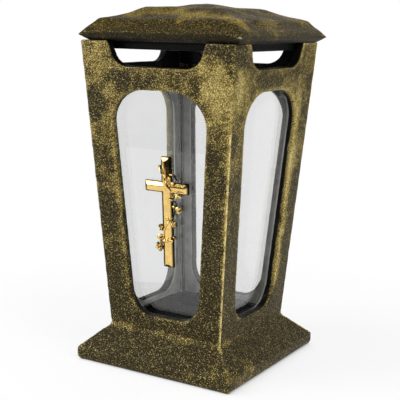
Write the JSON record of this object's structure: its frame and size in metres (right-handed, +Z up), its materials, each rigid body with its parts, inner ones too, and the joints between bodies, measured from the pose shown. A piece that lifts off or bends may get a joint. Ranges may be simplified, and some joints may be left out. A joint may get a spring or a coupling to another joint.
{
  "type": "grave lantern",
  "caption": "Square flared grave lantern with glazed sides, vent notches, a loose hipped lid and a cross with a rose vine on the front pane.",
  "frame": {"origin": "middle of the foot's sole, where the lantern stands", "axes": "+Z up through the lid's crown, -Y towards the front pane with the cross, +X to the front's right"},
  "size_m": [0.1529, 0.15, 0.3],
  "materials": {
    "speckled_casting": "black stoving paint sponged with fine gold speckle",
    "glass": "clear float glass",
    "sealant": "matt grey silicone",
    "clip_steel": "black zinc plated strip",
    "screw_steel": "black zinc plated",
    "polished_gold": "mirror polished gold plating",
    "adhesive_foam": "black foam tape"
  },
  "bodies": {
    "lantern_body": {"body_casting": "speckled_casting", "front_pane": "glass", "front_pane_bedding": "sealant", "front_pane_clips": "clip_steel", "right_pane": "glass", "right_pane_bedding": "sealant", "right_pane_clips": "clip_steel", "back_pane": "glass", "back_pane_bedding": "sealant", "back_pane_clips": "clip_steel", "left_pane": "glass", "left_pane_bedding": "sealant", "left_pane_clips": "clip_steel", "clip_screws": "screw_steel", "cross_ornament": "polished_gold", "rose_vine": "polished_gold", "ornament_pads": "adhesive_foam"},
    "lid": {"lid_casting": "speckled_casting"}
  },
  "joints": [
    {"name": "lid_lift", "type": "slide", "parent": "lantern_body", "child": "lid", "axis": [0, 0, 1], "range_m": [0, 0.12]}
  ]
}
